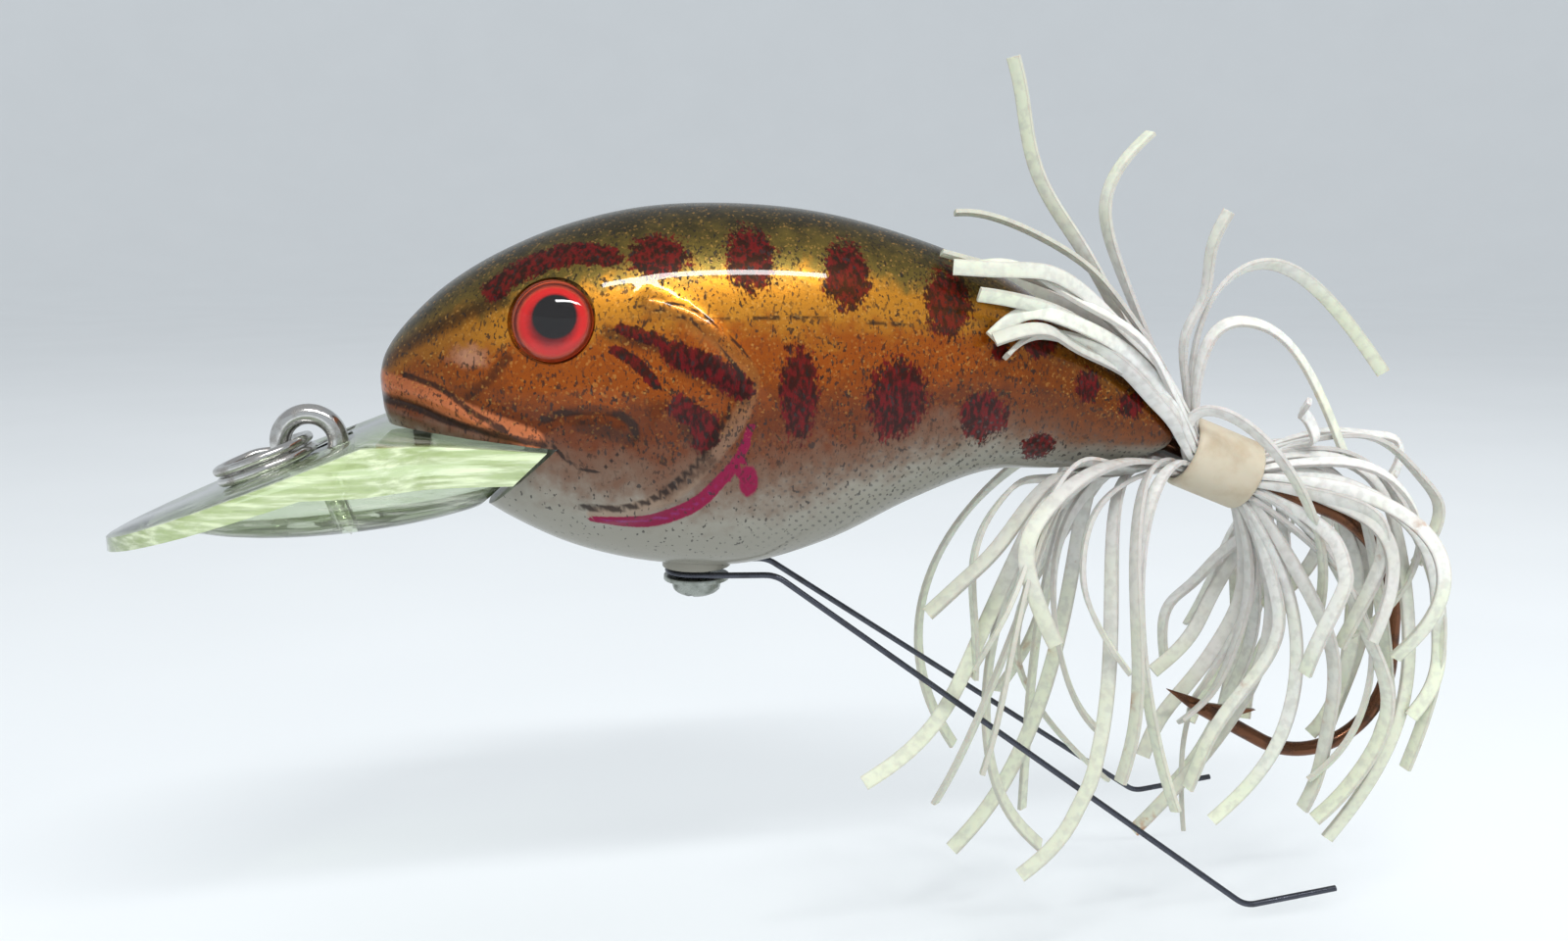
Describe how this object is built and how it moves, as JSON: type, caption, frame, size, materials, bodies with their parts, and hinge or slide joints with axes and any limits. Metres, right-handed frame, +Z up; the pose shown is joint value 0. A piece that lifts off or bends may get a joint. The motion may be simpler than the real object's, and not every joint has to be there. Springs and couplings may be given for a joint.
{
  "type": "crankbait fishing lure",
  "caption": "Deep-diving hard lure with a clear diving lip, a split ring, a wire weed guard, and a tail hook dressed with a rubber skirt.",
  "frame": {"origin": "centre of the line tie's loop, which the lure is pulled and hung from", "axes": "+X from the nose to the tail, +Z up through the back; the lure's left side faces -Y"},
  "size_m": [0.1219, 0.0673, 0.0715],
  "materials": {
    "painted_body": "gold and orange-brown metallic paint with an olive back, grey-white belly, dark flecks and crimson bars under clear coat",
    "eye_foil": "printed disc, orange-red iris and black pupil",
    "eye_dome": "clear glossy dome",
    "clear_lip": "clear moulded plastic with a faint green tint, brighter at its edges",
    "nickel_steel": "nickel plate",
    "zinc_steel": "dull plate",
    "guard_wire": "dark blued spring wire",
    "ballast_lead": "dull cast metal",
    "bronzed_hook": "bronzed dark brown",
    "collar_rubber": "cream rubber tube",
    "strand_rubber": "white rubber, aged greenish yellow, with rust stains"
  },
  "bodies": {
    "lure": {"body_left_half": "painted_body", "body_right_half": "painted_body", "eye_disc_left": "eye_foil", "eye_disc_right": "eye_foil", "eye_dome_left": "eye_dome", "eye_dome_right": "eye_dome", "diving_lip": "clear_lip", "line_tie_screw_eye": "nickel_steel", "belly_screw": "zinc_steel", "belly_washer": "zinc_steel", "guard_loop": "guard_wire", "ballast_weight": "ballast_lead", "tail_pin": "nickel_steel"},
    "split_ring": {"split_ring": "nickel_steel"},
    "skirted_hook": {"hook": "bronzed_hook", "skirt_collar": "collar_rubber", "skirt_strand_01": "strand_rubber", "skirt_strand_02": "strand_rubber", "skirt_strand_03": "strand_rubber", "skirt_strand_04": "strand_rubber", "skirt_strand_05": "strand_rubber", "skirt_strand_06": "strand_rubber", "skirt_strand_07": "strand_rubber", "skirt_strand_08": "strand_rubber", "skirt_strand_09": "strand_rubber", "skirt_strand_10": "strand_rubber", "skirt_strand_11": "strand_rubber", "skirt_strand_12": "strand_rubber", "skirt_strand_13": "strand_rubber", "skirt_strand_14": "strand_rubber", "skirt_strand_15": "strand_rubber", "skirt_strand_16": "strand_rubber", "skirt_strand_17": "strand_rubber", "skirt_strand_18": "strand_rubber", "skirt_strand_19": "strand_rubber", "skirt_strand_20": "strand_rubber", "skirt_strand_21": "strand_rubber", "skirt_strand_22": "strand_rubber", "skirt_strand_23": "strand_rubber", "skirt_strand_24": "strand_rubber", "skirt_strand_25": "strand_rubber", "skirt_strand_26": "strand_rubber", "skirt_strand_27": "strand_rubber", "skirt_strand_28": "strand_rubber", "skirt_strand_29": "strand_rubber", "skirt_strand_30": "strand_rubber", "skirt_strand_31": "strand_rubber", "skirt_strand_32": "strand_rubber", "skirt_strand_33": "strand_rubber", "skirt_strand_34": "strand_rubber"},
    "left_guard_leg": {"guard_leg_left": "guard_wire"},
    "right_guard_leg": {"guard_leg_right": "guard_wire"},
    "rattle_ball": {"rattle_ball": "nickel_steel"}
  },
  "joints": [
    {"name": "split_ring_swing", "type": "hinge", "parent": "lure", "child": "split_ring", "pos_m": [0, 0, 0], "axis": [0, 1, 0], "range_deg": [0, 150]},
    {"name": "hook_swing", "type": "hinge", "parent": "lure", "child": "skirted_hook", "pos_m": [0.0674, 0, -0.0004], "axis": [0, 1, 0], "range_deg": [-60, 80], "deforming": ["skirt_strand_01", "skirt_strand_02", "skirt_strand_03", "skirt_strand_04", "skirt_strand_05", "skirt_strand_06", "skirt_strand_07", "skirt_strand_08", "skirt_strand_09", "skirt_strand_10", "skirt_strand_11", "skirt_strand_12", "skirt_strand_13", "skirt_strand_14", "skirt_strand_15", "skirt_strand_16", "skirt_strand_17", "skirt_strand_18", "skirt_strand_19", "skirt_strand_20", "skirt_strand_21", "skirt_strand_22", "skirt_strand_23", "skirt_strand_24", "skirt_strand_25", "skirt_strand_26", "skirt_strand_27", "skirt_strand_28", "skirt_strand_29", "skirt_strand_30", "skirt_strand_31", "skirt_strand_32", "skirt_strand_33", "skirt_strand_34"]},
    {"name": "guard_left_flex", "type": "hinge", "parent": "lure", "child": "left_guard_leg", "pos_m": [0.0364, -0.003, -0.01127], "axis": [0, -1, 0], "range_deg": [-10, 25], "stiffness_Nm_per_rad": 0.03},
    {"name": "guard_right_flex", "type": "hinge", "parent": "lure", "child": "right_guard_leg", "pos_m": [0.0364, 0.003, -0.01127], "axis": [0, -1, 0], "range_deg": [-10, 25], "stiffness_Nm_per_rad": 0.03},
    {"name": "rattle_ball_roll", "type": "slide", "parent": "lure", "child": "rattle_ball", "axis": [1, 0, 0], "range_m": [-0.0035, 0.0035]}
  ]
}
